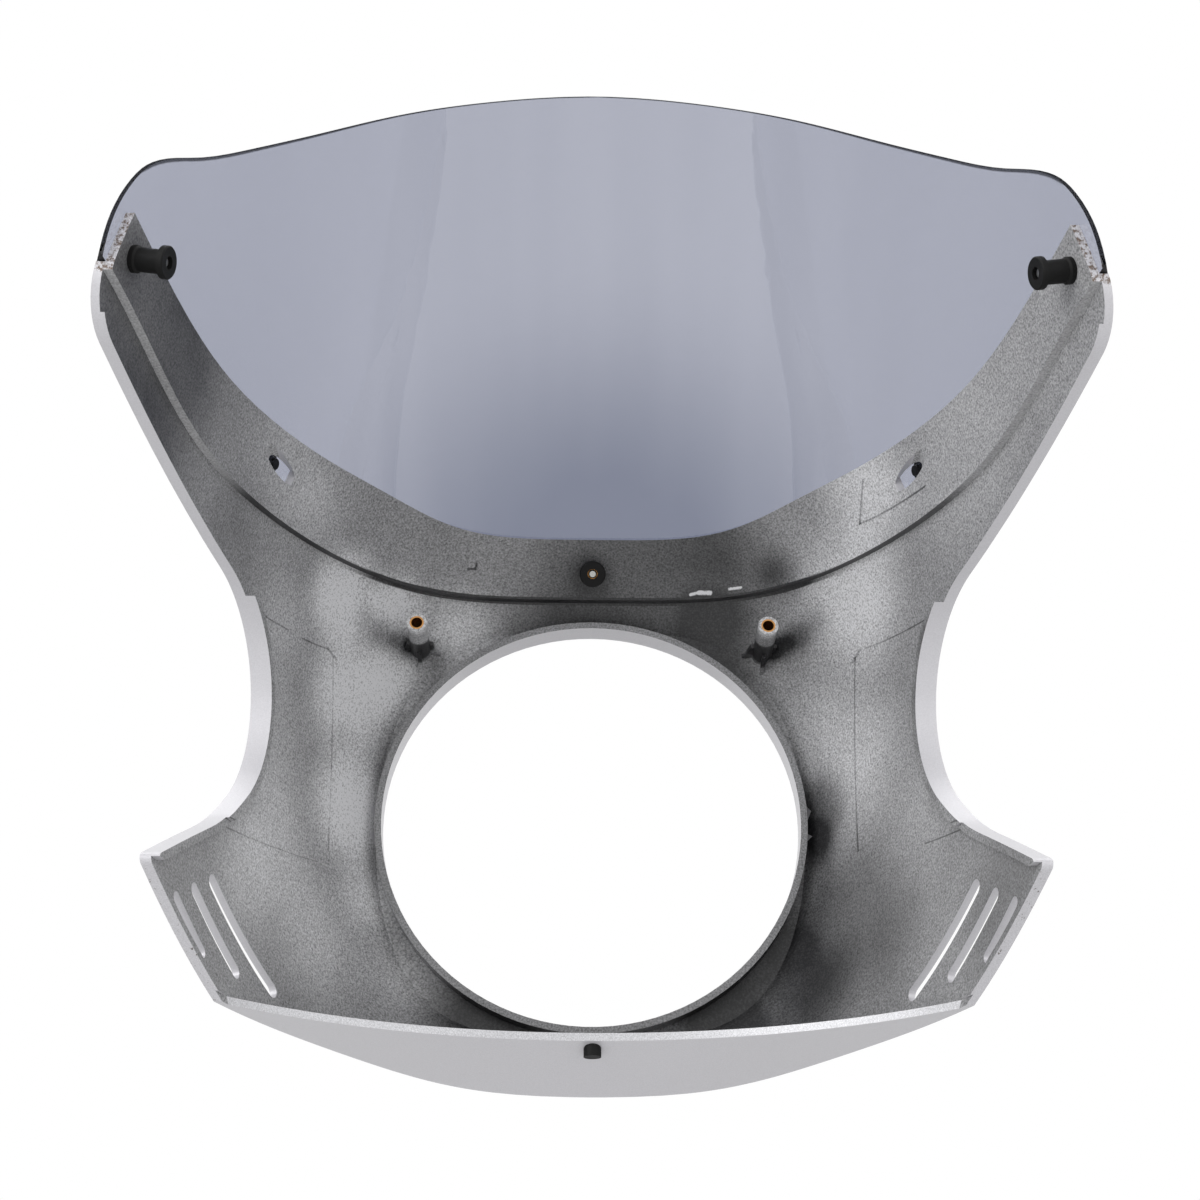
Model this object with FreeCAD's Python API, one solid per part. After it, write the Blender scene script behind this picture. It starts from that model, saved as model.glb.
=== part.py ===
import FreeCAD, Part
import math
import os

# Half fairing for a round headlight, with its screen, seen as the rider sees it.
# X is the rider's right, Y is forward, Z is up. The origin is the centre of the
# headlight opening, in the rear plane of its collar. All sizes are millimetres.

# Sheet thicknesses and the small clearances between pieces
WALL = 3.0
SCREEN_THICKNESS = 3.0
SCREEN_BEDDING = 0.2
SCREEN_GAP = 0.4
FIT_CLEARANCE = 0.05
HEAD_BEDDING = 0.03

# Outer skin: how far it falls back from the nose, upward, downward and sideways
NOSE_Y = 36.0
UPPER_FALL_LENGTH = 385.0
RAKE_START_Z = 160.0
RAKE_FALL_LENGTH = 2500.0
LOWER_FALL = 24.0
LOWER_FALL_AT = 97.0
SIDE_FALL = 24.2
SIDE_FALL_AT = 98.0
SIDE_FALL_POWER = 3.9
WRAP_START_Z = 50.0
WRAP_LENGTH = 210.8


# Headlight opening, its collar, and the flat face that trims the nose
OPENING_RADIUS = 93.6
COLLAR_WALL = 3.0
NOSE_FACE_Y = 12.0

# Side view (Y, Z) of the body: straight edges meeting in rounded corners
EAR_REAR_Y = -262.0
EAR_CORNER_Z = 93.2
EAR_CORNER_RADIUS = 24.0
FORK_CUTOUT_CORNER = (-17.3, 48.2)
FORK_CUTOUT_RADIUS = 53.0
FORK_LOWER_CORNER = (-100.2, -37.5)
FORK_LOWER_RADIUS = 105.0
WING_TIP = (-158.8, -71.4)
WING_TIP_RADIUS = 2.6
WING_REAR_SLOPE = -0.638
BODY_BOTTOM_Z = -135.0
BODY_TOP_Z = 145.0
BODY_FRONT_Y = 60.0

# Side view of the step under the screen, and of the top of the seat behind it
STEP_LINE = [(-290, 110), (-238, 108.5), (-168, 98.8), (-112, 100.3), (-44, 107.7), (20, 110.5)]
SEAT_LINE = [(-290, 134), (-238, 129), (-170, 125.5), (-120, 130)]
SEAT_LINE += [(-75, 136), (-38, 137), (-15, 131), (20, 119)]

# Rolled edges: the body's wall turns inward along its rear outline
EAR_LIP_DEPTH = 4.5
FORK_LIP_DEPTH = 8.2
WING_LIP_DEPTH = 7.0
WING_REAR_LIP_DEPTH = 4.0
EAR_LIP_TOP_Z = 95.0
FORK_LIP_TOP_Z = 60.6
FORK_LIP_BOTTOM_Z = -36.4
WING_LIP_BOTTOM_Z = -71.0

# Chin: a floor that rises to the rear and ends in an arc
CHIN_RIM_Z = -109.0
CHIN_RIM_Y = -40.0
CHIN_RIM_RADIUS = 200.0
CHIN_SLOPE = 0.405
CHIN_HALF_WIDTH = 143.0

# Gill slots in the wings: width, upper end, lower end, and the step to the next one
SLOT_COUNT = 3
SLOT_WIDTH = 6.8
SLOT_WIDTH_STEP = -0.8
SLOT_UPPER = (-103.2, -61.9)
SLOT_UPPER_STEP = (-15.2, -8.0)
SLOT_LOWER = (-57.6, -96.4)
SLOT_LOWER_STEP = (-26.2, 0.5)

# Headlight bracket bosses, moulded on the inner face, with brass inserts
BOSS_X = 79.5
BOSS_Z = 83.0
BOSS_TIP_Y = -27.0
BOSS_RADIUS = 4.55
BOSS_RIB_COUNT = 4
BOSS_RIB_THICKNESS = 1.8
BOSS_RIB_FOOT = 7.8
BOSS_RIB_TOP = 6.0
BOSS_RIB_HEIGHT = 9.5
BOSS_THREAD_RADIUS = 2.5
BOSS_INSERT_RADIUS = 3.2
BOSS_INSERT_LENGTH = 10.0
BOSS_HOLE_SPARE = 3.0

# Screen outline, half width against height, in a plane square to the rake. The trim
# lines through it meet at the rider's eye, so that the cut edge looks thin from there.
TRIM_TILT = 26.0
TRIM_EYE_DISTANCE = 874.0
TRIM_EYE_HEIGHT = 98.4
TRIM_NEAR = -340.0
TRIM_FAR = 110.0
SCREEN_CROWN_HEIGHT = 321.8
SCREEN_EDGE = [(45.0, 319.0), (90.0, 312.0), (127.0, 303.0), (157.0, 296.0), (180.0, 292.2)]
SCREEN_CORNER = [(195.5, 291.4), (203.3, 288.7), (211.3, 281.3), (219, 268.5), (225.1, 247.8), (234, 203)]

# Three rubber nuts hold the screen, at the middle and at the ears
MIDDLE_FIX = (0.0, 122.5)
EAR_FIX = (173.3, 120.6)
FIX_HOLE_RADIUS = 4.5
NUT_BARREL_RADIUS = 4.4
NUT_FOOT_RADIUS = 5.0
NUT_FOOT_LENGTH = 1.8
NUT_LENGTH = 14.0
NUT_END_RADIUS = 6.0
NUT_END_LENGTH = 2.4
NUT_END_CHAMFER = 0.4
NUT_TAPER = 0.8
NUT_BORE_RADIUS = 2.35
NUT_INSERT_RADIUS = 3.1
NUT_INSERT_LENGTH = 6.0
NUT_INSERT_COVER = 2.6
SCREW_RADIUS = 1.95
SCREW_TIP_BELOW_END = 1.2
SCREW_TIP_CHAMFER = 0.5
SCREW_HEAD_RADIUS = 3.8
SCREW_HEAD_HEIGHT = 2.2
SCREW_SOCKET = 2.5
SCREW_SOCKET_DEPTH = 1.3
SCREEN_HOLE_RADIUS = 2.75
WASHER_RADIUS = 5.0
WASHER_THICKNESS = 0.8
WASHER_BORE_RADIUS = 2.15

# Two plugs close the spare screen holes at the lower sides
SIDE_HOLE = (138.8, 119.8)
SIDE_HOLE_RADIUS = 4.5
PLUG_SHANK_RADIUS = 2.35
PLUG_SHANK_BEYOND = 1.0
PLUG_HEAD_RADIUS = 4.6
PLUG_HEAD_HEIGHT = 1.8

# The patch of skin that is drawn, wider than every piece that is cut from it
SKIN_SIDE_SPARE = 12.7
SKIN_END_SPARE = 10.0
SKIN_HALF_WIDTH = EAR_FIX[0] + SKIN_SIDE_SPARE
SKIN_BOTTOM_Z = BODY_BOTTOM_Z - SKIN_END_SPARE
SKIN_TOP_Z = 300.0
SKIN_STATIONS = 20
OFFSET_ROUNDS = 6
REACH = 450.0
CUT_SPARE = 20.0
CHIN_SPARE = 8.0

# Drain plug under the chin, upright, hanging a little below the floor
CHIN_PLUG_Y = -35.0
CHIN_PLUG_RADIUS = 3.6
CHIN_PLUG_DROP = 3.4
CHIN_PLUG_SHANK_RADIUS = 2.2
CHIN_PLUG_SHANK_ABOVE = 1.5

AXIS_X = FreeCAD.Vector(1, 0, 0)
AXIS_Y = FreeCAD.Vector(0, 1, 0)
AXIS_Z = FreeCAD.Vector(0, 0, 1)


def wrap_gain(z):
    return 1.0 + (max(0.0, z - WRAP_START_Z) / WRAP_LENGTH) ** 2


def side_fall(x, z):
    """How far the skin falls back sideways; the upper part wraps a little more."""
    return SIDE_FALL * (abs(x) / SIDE_FALL_AT) ** SIDE_FALL_POWER * wrap_gain(z)


def centre_fall(z):
    """How far the centre line falls back from the nose at a height."""
    if z < 0.0:
        return LOWER_FALL * (z / LOWER_FALL_AT) ** 2
    if z < RAKE_START_Z:
        return z * z / UPPER_FALL_LENGTH
    beyond = z - RAKE_START_Z
    start = RAKE_START_Z ** 2 / UPPER_FALL_LENGTH
    slope = 2.0 * RAKE_START_Z / UPPER_FALL_LENGTH
    return start + slope * beyond + beyond * beyond / RAKE_FALL_LENGTH


def skin_y(x, z):
    return NOSE_Y - centre_fall(z) - side_fall(x, z)


def skin_x(y, z):
    """Half width of the skin at a place of the side view."""
    fall = (NOSE_Y - centre_fall(z) - y) / (SIDE_FALL * wrap_gain(z))
    return SIDE_FALL_AT * fall ** (1.0 / SIDE_FALL_POWER)


def inward(x, z):
    """Unit normal of the skin, pointing into the fairing."""
    h = 0.05
    along_x = (skin_y(x + h, z) - skin_y(x - h, z)) / (2.0 * h)
    along_z = (skin_y(x, z + h) - skin_y(x, z - h)) / (2.0 * h)
    normal = FreeCAD.Vector(along_x, -1.0, along_z)
    return normal.normalize()


def skin_point(x, z, depth=0.0):
    return FreeCAD.Vector(x, skin_y(x, z), z) + inward(x, z) * depth


def depth_y(x, z, depth):
    """Y of the surface that lies a depth below the skin, at a place of the front view."""
    foot_x = x
    foot_z = z
    for i in range(OFFSET_ROUNDS):
        normal = inward(foot_x, foot_z)
        foot_x = x - normal.x * depth
        foot_z = z - normal.z * depth
    return skin_point(foot_x, foot_z, depth).y


def height_field(height, first, last, counts):
    """Smooth face of a height over a rectangular grid of its two places."""
    steps = [(last[i] - first[i]) / (counts[i] - 1.0) for i in range(2)]
    rows = []
    for i in range(counts[0]):
        rows.append([height(first[0] + steps[0] * i, first[1] + steps[1] * j) for j in range(counts[1])])
    surface = Part.BSplineSurface()
    surface.interpolate(rows, first[0], steps[0], first[1], steps[1])
    return surface.toShape()


def behind_skin(depth):
    """Everything behind the surface that lies a depth below the skin."""
    half = SKIN_HALF_WIDTH + depth
    face = height_field(
        lambda x, z: -depth_y(x, z, depth),
        (-half, SKIN_BOTTOM_Z - depth),
        (half, SKIN_TOP_Z + depth),
        (SKIN_STATIONS + 1, SKIN_STATIONS),
    )
    face.rotate(FreeCAD.Vector(0, 0, 0), AXIS_X, 90)
    return face.extrude(AXIS_Y * -(REACH + depth))


def side_point(y, z):
    return FreeCAD.Vector(-SKIN_HALF_WIDTH - CUT_SPARE, y, z)


def across(face):
    """Prism of a side view face over the whole width."""
    return face.extrude(AXIS_X * 2.0 * (SKIN_HALF_WIDTH + CUT_SPARE))


def rounded_outline(corners):
    """Closed side view wire through (y, z, radius) corners."""
    count = len(corners)
    edges = []
    points = [side_point(y, z) for y, z, radius in corners]
    starts = []
    ends = []
    for i in range(count):
        before = (points[i - 1] - points[i]).normalize()
        after = (points[(i + 1) % count] - points[i]).normalize()
        half = before.getAngle(after) / 2.0
        back = corners[i][2] / math.tan(half)
        starts.append(points[i] + before * back)
        ends.append(points[i] + after * back)
        if corners[i][2] > 0.0:
            bisector = (before + after).normalize()
            middle = points[i] + bisector * (corners[i][2] / math.sin(half) - corners[i][2])
            edges.append(Part.Arc(starts[i], middle, ends[i]).toShape())
    for i in range(count):
        edges.append(Part.LineSegment(ends[i], starts[(i + 1) % count]).toShape())
    return Part.Wire(Part.sortEdges(edges)[0])


def side_spline(line, lift=0.0):
    curve = Part.BSplineCurve()
    curve.interpolate([side_point(y, z + lift) for y, z in line])
    return curve.toShape()


def between(lower, upper):
    """Prism between two side view edges that share their Y range."""
    rear = Part.makeLine(lower.firstVertex().Point, upper.firstVertex().Point)
    front = Part.makeLine(lower.lastVertex().Point, upper.lastVertex().Point)
    wire = Part.Wire(Part.sortEdges([lower, front, upper, rear])[0])
    return across(Part.Face(wire))


def level(z):
    return Part.makeLine(side_point(STEP_LINE[0][0], z), side_point(STEP_LINE[-1][0], z))


def slab(z_low, z_high):
    """Horizontal slab that covers the whole plan."""
    size = 4.0 * REACH
    return Part.makeBox(size, size, z_high - z_low, FreeCAD.Vector(-size / 2, -size / 2, z_low))


def rim_y(x):
    """Rear edge of the chin floor in plan."""
    centre = CHIN_RIM_Y - CHIN_RIM_RADIUS
    return centre + math.sqrt(CHIN_RIM_RADIUS ** 2 - x * x)


def chin_slope(x):
    """Rise of the floor to the rear, which fades out to level at its sides."""
    return CHIN_SLOPE * max(0.0, 1.0 - (x / CHIN_HALF_WIDTH) ** 2) ** 3


def chin_height(x, y):
    if abs(x) < CHIN_HALF_WIDTH:
        return CHIN_RIM_Z - chin_slope(x) * (y - rim_y(x))
    return CHIN_RIM_Z


def above_chin(lift):
    """Everything above the chin floor's lower face, or above that face lifted square to it."""
    half = SKIN_HALF_WIDTH + CHIN_SPARE + lift
    face = height_field(
        lambda x, y: chin_height(x, y) + lift * math.hypot(1.0, chin_slope(x)),
        (-half, -REACH - lift),
        (half, BODY_FRONT_Y + CHIN_SPARE + lift),
        (2 * SKIN_STATIONS + 1, SKIN_STATIONS // 2),
    )
    return face.extrude(AXIS_Z * (2.0 * REACH + lift))


def behind_rim():
    """Plan region behind the arc of the chin rim."""
    bottom = 2.0 * BODY_BOTTOM_Z
    centre = FreeCAD.Vector(0, CHIN_RIM_Y - CHIN_RIM_RADIUS, bottom)
    return Part.makeCylinder(CHIN_RIM_RADIUS, BODY_TOP_Z - bottom, centre)


def body_outline():
    tip_y, tip_z = WING_TIP
    bottom_y = tip_y + (BODY_BOTTOM_Z - tip_z) / WING_REAR_SLOPE
    return rounded_outline([
        (EAR_REAR_Y, BODY_TOP_Z, 0.0),
        (EAR_REAR_Y, EAR_CORNER_Z, EAR_CORNER_RADIUS),
        (FORK_CUTOUT_CORNER[0], FORK_CUTOUT_CORNER[1], FORK_CUTOUT_RADIUS),
        (FORK_LOWER_CORNER[0], FORK_LOWER_CORNER[1], FORK_LOWER_RADIUS),
        (tip_y, tip_z, WING_TIP_RADIUS),
        (bottom_y, BODY_BOTTOM_Z, 0.0),
        (BODY_FRONT_Y, BODY_BOTTOM_Z, 0.0),
        (BODY_FRONT_Y, BODY_TOP_Z, 0.0),
    ])


def turned(profile, start, axis):
    """Solid of revolution; the profile is (radius, distance along the axis)."""
    points = [FreeCAD.Vector(r, 0, s) for r, s in profile]
    face = Part.Face(Part.makePolygon(points + [points[0]]))
    solid = face.revolve(FreeCAD.Vector(0, 0, 0), AXIS_Z, 360)
    solid.Placement = FreeCAD.Placement(start, FreeCAD.Rotation(AXIS_Z, axis))
    return solid


def rod(radius, start, axis, low, high):
    return Part.makeCylinder(radius, high - low, start + axis * low, axis)


def slot_cutter(side, index):
    """Round ended slot cut square to the wall between two places on the skin."""
    ends = []
    for place, step in ((SLOT_UPPER, SLOT_UPPER_STEP), (SLOT_LOWER, SLOT_LOWER_STEP)):
        y = place[0] + step[0] * index
        z = place[1] + step[1] * index
        ends.append(FreeCAD.Vector(side * skin_x(y, z), y, z))
    centre = (ends[0] + ends[1]) * 0.5
    along = (ends[1] - ends[0]).normalize()
    depth = inward(side * skin_x(centre.y, centre.z), centre.z)
    depth = (depth - along * depth.dot(along)).normalize()
    half = (SLOT_WIDTH + SLOT_WIDTH_STEP * index) / 2.0
    wide = along.cross(depth) * half
    first = ends[0] + along * half - depth * (4.0 * WALL)
    last = ends[1] - along * half - depth * (4.0 * WALL)
    edges = [
        Part.LineSegment(first - wide, last - wide).toShape(),
        Part.Arc(last - wide, last + along * half, last + wide).toShape(),
        Part.LineSegment(last + wide, first + wide).toShape(),
        Part.Arc(first + wide, first - along * half, first - wide).toShape(),
    ]
    return Part.Face(Part.Wire(Part.sortEdges(edges)[0])).extrude(depth * (8.0 * WALL))


def boss(side):
    """Round boss with ribs at its foot, before its hole is bored."""
    wall_y = skin_y(BOSS_X, BOSS_Z)
    foot_y = skin_point(BOSS_X, BOSS_Z, WALL).y
    start = FreeCAD.Vector(side * BOSS_X, 0, BOSS_Z)
    solid = rod(BOSS_RADIUS, start, AXIS_Y, BOSS_TIP_Y, wall_y)
    for i in range(BOSS_RIB_COUNT):
        top = foot_y - BOSS_RIB_HEIGHT
        sunk = BOSS_RIB_FOOT + WALL / 2.0
        profile = [(0.0, wall_y), (sunk, wall_y), (BOSS_RIB_FOOT, foot_y), (BOSS_RIB_TOP, top), (0.0, top)]
        outline = [FreeCAD.Vector(r, y, -BOSS_RIB_THICKNESS / 2.0) for r, y in profile]
        rib = Part.Face(Part.makePolygon(outline + [outline[0]])).extrude(AXIS_Z * BOSS_RIB_THICKNESS)
        rib.rotate(FreeCAD.Vector(0, 0, 0), AXIS_Y, 360.0 * i / BOSS_RIB_COUNT)
        rib.translate(start)
        solid = solid.fuse(rib)
    return solid.common(behind_skin(WALL / 2))


def boss_hole(side):
    start = FreeCAD.Vector(side * BOSS_X, BOSS_TIP_Y, BOSS_Z)
    return rod(BOSS_INSERT_RADIUS, start, AXIS_Y, 0.0, BOSS_INSERT_LENGTH + BOSS_HOLE_SPARE)


def boss_insert(side):
    start = FreeCAD.Vector(side * BOSS_X, BOSS_TIP_Y, BOSS_Z)
    outer = rod(BOSS_INSERT_RADIUS, start, AXIS_Y, 0.0, BOSS_INSERT_LENGTH)
    return outer.cut(rod(BOSS_THREAD_RADIUS, start, AXIS_Y, 0.0, BOSS_INSERT_LENGTH))


def seat_depths():
    outer = SCREEN_THICKNESS + SCREEN_BEDDING
    return outer, outer + WALL


def through_hole(place, radius):
    """Cutter square to the skin, from outside the screen to inside the seat."""
    x, z = place
    return rod(radius, skin_point(x, z), inward(x, z), -4.0 * WALL, 6.0 * WALL)


def access_hole(place):
    """Cutter along the moulding draw, from inside the seat to the screen."""
    centre = skin_point(place[0], place[1], seat_depths()[1])
    return rod(SIDE_HOLE_RADIUS, centre, AXIS_Y, -4.0 * WALL, 4.0 * WALL)


def mirrored_places(place):
    return [(-place[0], place[1]), place]


def fairing_shell():
    outline = body_outline()
    inner_outline = outline.makeOffset2D(-WALL)
    body_prism = across(Part.Face(outline))
    edge_prism = body_prism.cut(across(Part.Face(inner_outline)))
    step = side_spline(STEP_LINE)
    below_step = between(level(BODY_BOTTOM_Z), step)
    seat_outer, seat_inner = seat_depths()
    outer = behind_skin(0.0)
    nose_cut = Part.makeBox(2 * REACH, REACH, 2 * REACH, FreeCAD.Vector(-REACH, NOSE_FACE_Y, -REACH))
    cavity_cut = nose_cut.copy()
    cavity_cut.translate(AXIS_Y * -WALL)

    cavity = behind_skin(WALL).cut(cavity_cut)
    solid = outer.common(body_prism.common(below_step).common(above_chin(0.0))).cut(nose_cut)
    shell = solid.cut(cavity.common(above_chin(WALL)))
    shell = shell.cut(cavity.common(behind_rim()))

    lips = [
        (EAR_LIP_DEPTH, FORK_LIP_TOP_Z, EAR_LIP_TOP_Z),
        (FORK_LIP_DEPTH, FORK_LIP_BOTTOM_Z, FORK_LIP_TOP_Z),
        (WING_LIP_DEPTH, WING_LIP_BOTTOM_Z, FORK_LIP_BOTTOM_Z),
        (WING_REAR_LIP_DEPTH, CHIN_RIM_Z + WALL, WING_LIP_BOTTOM_Z),
    ]
    pieces = []
    for depth, low, high in lips:
        pieces.append(outer.common(edge_prism.common(slab(low, high))).cut(behind_skin(depth)))

    band = body_prism.common(between(side_spline(STEP_LINE, -WALL), step))
    seat = body_prism.common(between(step, side_spline(SEAT_LINE)))
    inside_seat = behind_skin(seat_inner)
    pieces.append(outer.common(band).cut(inside_seat))
    pieces.append(behind_skin(seat_outer).common(seat).cut(inside_seat))
    pieces.append(rod(OPENING_RADIUS + COLLAR_WALL, FreeCAD.Vector(0, 0, 0), AXIS_Y, 0.0, NOSE_FACE_Y))
    pieces += [boss(side) for side in (-1, 1)]
    shell = shell.fuse(pieces)

    cutters = [rod(OPENING_RADIUS, FreeCAD.Vector(0, 0, 0), AXIS_Y, -WALL, NOSE_FACE_Y + WALL)]
    cutters += [boss_hole(side) for side in (-1, 1)]
    cutters += [slot_cutter(side, i) for side in (-1, 1) for i in range(SLOT_COUNT)]
    cutters += [through_hole(place, FIX_HOLE_RADIUS) for place in [MIDDLE_FIX] + mirrored_places(EAR_FIX)]
    cutters += [access_hole(place) for place in mirrored_places(SIDE_HOLE)]
    cutters.append(rod(CHIN_PLUG_SHANK_RADIUS, chin_plug_start(), AXIS_Z, -WALL, 2.0 * WALL))
    return shell.cut(cutters).removeSplitter()


def chin_plug_start():
    return FreeCAD.Vector(0, CHIN_PLUG_Y, chin_height(0.0, CHIN_PLUG_Y))


def sight_place(x, height, reach):
    """Place on the line from the eye through a point of the outline's plane."""
    tilt = math.radians(TRIM_TILT)
    spread = 1.0 + reach / TRIM_EYE_DISTANCE
    up = TRIM_EYE_HEIGHT + (height - TRIM_EYE_HEIGHT) * spread
    y = reach * math.cos(tilt) - up * math.sin(tilt)
    z = reach * math.sin(tilt) + up * math.cos(tilt)
    return FreeCAD.Vector(x * spread, y, z)


def trim_outline(reach):
    """Outline of the screen, closed below, at a reach beyond its plane."""
    right = SCREEN_EDGE + SCREEN_CORNER
    left = [(-x, height) for x, height in reversed(right)]
    places = [sight_place(x, height, reach) for x, height in left + [(0.0, SCREEN_CROWN_HEIGHT)] + right]
    feet = [sight_place(x, 0.0, reach) for x in (right[-1][0], left[0][0])]
    curve = Part.BSplineCurve()
    curve.interpolate(places)
    below = Part.makePolygon([places[-1]] + feet + [places[0]])
    return Part.Wire([curve.toShape()] + below.Edges)


def windscreen():
    trim = Part.makeLoft([trim_outline(TRIM_NEAR), trim_outline(TRIM_FAR)], True, True)
    above_step = between(side_spline(STEP_LINE, SCREEN_GAP), level(2.0 * REACH))
    sheet = behind_skin(0.0).common(trim.common(above_step)).cut(behind_skin(SCREEN_THICKNESS))
    cutters = [through_hole(place, SCREEN_HOLE_RADIUS) for place in [MIDDLE_FIX] + mirrored_places(EAR_FIX)]
    plug_hole = PLUG_SHANK_RADIUS + FIT_CLEARANCE
    cutters += [through_hole(place, plug_hole) for place in mirrored_places(SIDE_HOLE)]
    return sheet.cut(cutters).removeSplitter()


def well_nut(place):
    """Rubber nut: barrel in the seat's hole, foot on its inner face, disc at the free end."""
    outer, inner = seat_depths()
    end = inner + NUT_LENGTH
    insert_low = end - NUT_INSERT_COVER - NUT_INSERT_LENGTH
    insert_high = end - NUT_INSERT_COVER
    profile = [
        (NUT_BORE_RADIUS, outer),
        (NUT_BARREL_RADIUS, outer),
        (NUT_BARREL_RADIUS, inner + FIT_CLEARANCE),
        (NUT_FOOT_RADIUS, inner + FIT_CLEARANCE),
        (NUT_FOOT_RADIUS, inner + NUT_FOOT_LENGTH),
        (NUT_BARREL_RADIUS, inner + NUT_FOOT_LENGTH + NUT_TAPER),
        (NUT_BARREL_RADIUS, end - NUT_END_LENGTH - NUT_TAPER),
        (NUT_END_RADIUS, end - NUT_END_LENGTH),
        (NUT_END_RADIUS, end - NUT_END_CHAMFER),
        (NUT_END_RADIUS - NUT_END_CHAMFER, end),
        (NUT_BORE_RADIUS, end),
        (NUT_BORE_RADIUS, insert_high),
        (NUT_INSERT_RADIUS, insert_high),
        (NUT_INSERT_RADIUS, insert_low),
        (NUT_BORE_RADIUS, insert_low),
    ]
    return turned(profile, skin_point(*place), inward(*place))


def nut_insert(place):
    end = seat_depths()[1] + NUT_LENGTH - NUT_INSERT_COVER
    profile = [
        (SCREW_RADIUS + FIT_CLEARANCE, end - NUT_INSERT_LENGTH),
        (NUT_INSERT_RADIUS, end - NUT_INSERT_LENGTH),
        (NUT_INSERT_RADIUS, end),
        (SCREW_RADIUS + FIT_CLEARANCE, end),
    ]
    return turned(profile, skin_point(*place), inward(*place))


def washer(place):
    profile = [
        (WASHER_BORE_RADIUS, -WASHER_THICKNESS - HEAD_BEDDING),
        (WASHER_RADIUS, -WASHER_THICKNESS - HEAD_BEDDING),
        (WASHER_RADIUS, -HEAD_BEDDING),
        (WASHER_BORE_RADIUS, -HEAD_BEDDING),
    ]
    return turned(profile, skin_point(*place), inward(*place))


def domed_pin(shank, head_radius, head_height, place):
    """Pin with a domed head, turned from its (radius, depth) shank profile, on the skin."""
    seat = shank[-1][1]
    sphere = (head_radius ** 2 + head_height ** 2) / (2.0 * head_height)
    half_turn = math.asin(head_radius / sphere) / 2.0
    points = [FreeCAD.Vector(r, 0, s) for r, s in shank + [(head_radius, seat)]]
    crown = FreeCAD.Vector(0, 0, seat - head_height)
    shoulder = crown + FreeCAD.Vector(sphere * math.sin(half_turn), 0, sphere * (1.0 - math.cos(half_turn)))
    edges = [Part.LineSegment(a, b).toShape() for a, b in zip(points, points[1:])]
    edges.append(Part.Arc(points[-1], shoulder, crown).toShape())
    edges.append(Part.LineSegment(crown, points[0]).toShape())
    solid = Part.Face(Part.Wire(edges)).revolve(FreeCAD.Vector(0, 0, 0), AXIS_Z, 360)
    solid.Placement = FreeCAD.Placement(skin_point(*place), FreeCAD.Rotation(AXIS_Z, inward(*place)))
    return solid


def screw(place):
    """Button head screw with a hexagon socket."""
    tip = seat_depths()[1] + NUT_LENGTH - SCREW_TIP_BELOW_END
    seat = -WASHER_THICKNESS - HEAD_BEDDING
    shank = [
        (0.0, tip),
        (SCREW_RADIUS - SCREW_TIP_CHAMFER, tip),
        (SCREW_RADIUS, tip - SCREW_TIP_CHAMFER),
        (SCREW_RADIUS, seat),
    ]
    solid = domed_pin(shank, SCREW_HEAD_RADIUS, SCREW_HEAD_HEIGHT, place)
    hexagon = []
    for i in range(7):
        angle = math.radians(60 * i)
        reach = SCREW_SOCKET / math.sqrt(3.0)
        corner = FreeCAD.Vector(reach * math.cos(angle), reach * math.sin(angle), seat - SCREW_HEAD_HEIGHT)
        hexagon.append(corner)
    socket = Part.Face(Part.makePolygon(hexagon)).extrude(AXIS_Z * SCREW_SOCKET_DEPTH)
    socket.Placement = solid.Placement
    return solid.cut(socket)


def screen_plug(place):
    """Push plug with a domed head outside the screen."""
    tip = SCREEN_THICKNESS + PLUG_SHANK_BEYOND
    shank = [(0.0, tip), (PLUG_SHANK_RADIUS, tip), (PLUG_SHANK_RADIUS, -HEAD_BEDDING)]
    return domed_pin(shank, PLUG_HEAD_RADIUS, PLUG_HEAD_HEIGHT, place)


def chin_plug():
    """Upright plug; its head is cut to the slope of the chin floor."""
    start = chin_plug_start()
    head = rod(CHIN_PLUG_RADIUS, start, AXIS_Z, -CHIN_PLUG_DROP, CHIN_PLUG_DROP)
    head = head.cut(above_chin(0.0))
    shank_radius = CHIN_PLUG_SHANK_RADIUS - FIT_CLEARANCE
    shank = rod(shank_radius, start, AXIS_Z, -CHIN_PLUG_DROP / 2, WALL + CHIN_PLUG_SHANK_ABOVE)
    return head.fuse(shank).removeSplitter()


def build():
    pieces = {
        "fairing_shell": fairing_shell(),
        "windscreen": windscreen(),
        "chin_plug": chin_plug(),
    }
    fixes = {"left": (-EAR_FIX[0], EAR_FIX[1]), "middle": MIDDLE_FIX, "right": EAR_FIX}
    for name, place in fixes.items():
        pieces["well_nut_" + name] = well_nut(place)
        pieces["nut_insert_" + name] = nut_insert(place)
        pieces["screen_screw_" + name] = screw(place)
        pieces["screw_washer_" + name] = washer(place)
    for name, side in (("left", -1), ("right", 1)):
        pieces["screen_plug_" + name] = screen_plug((side * SIDE_HOLE[0], SIDE_HOLE[1]))
        pieces["boss_insert_" + name] = boss_insert(side)
    return pieces


os.makedirs("parts", exist_ok=True)
for node, shape in build().items():
    print(node, len(shape.Solids), round(shape.Volume, 1), shape.isValid())
    shape.exportStep("parts/" + node + ".step")
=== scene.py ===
"""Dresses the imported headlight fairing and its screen, and shows it as photographed.

The fairing is seen from the rider's side and from a little below, held in the air
in front of a white studio background. Lengths are metres unless a name says mm.
"""

import logging
import math
from dataclasses import dataclass, field
from enum import Enum
from typing import Any, Optional

import bpy
import numpy as np
from mathutils import Matrix, Vector

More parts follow.
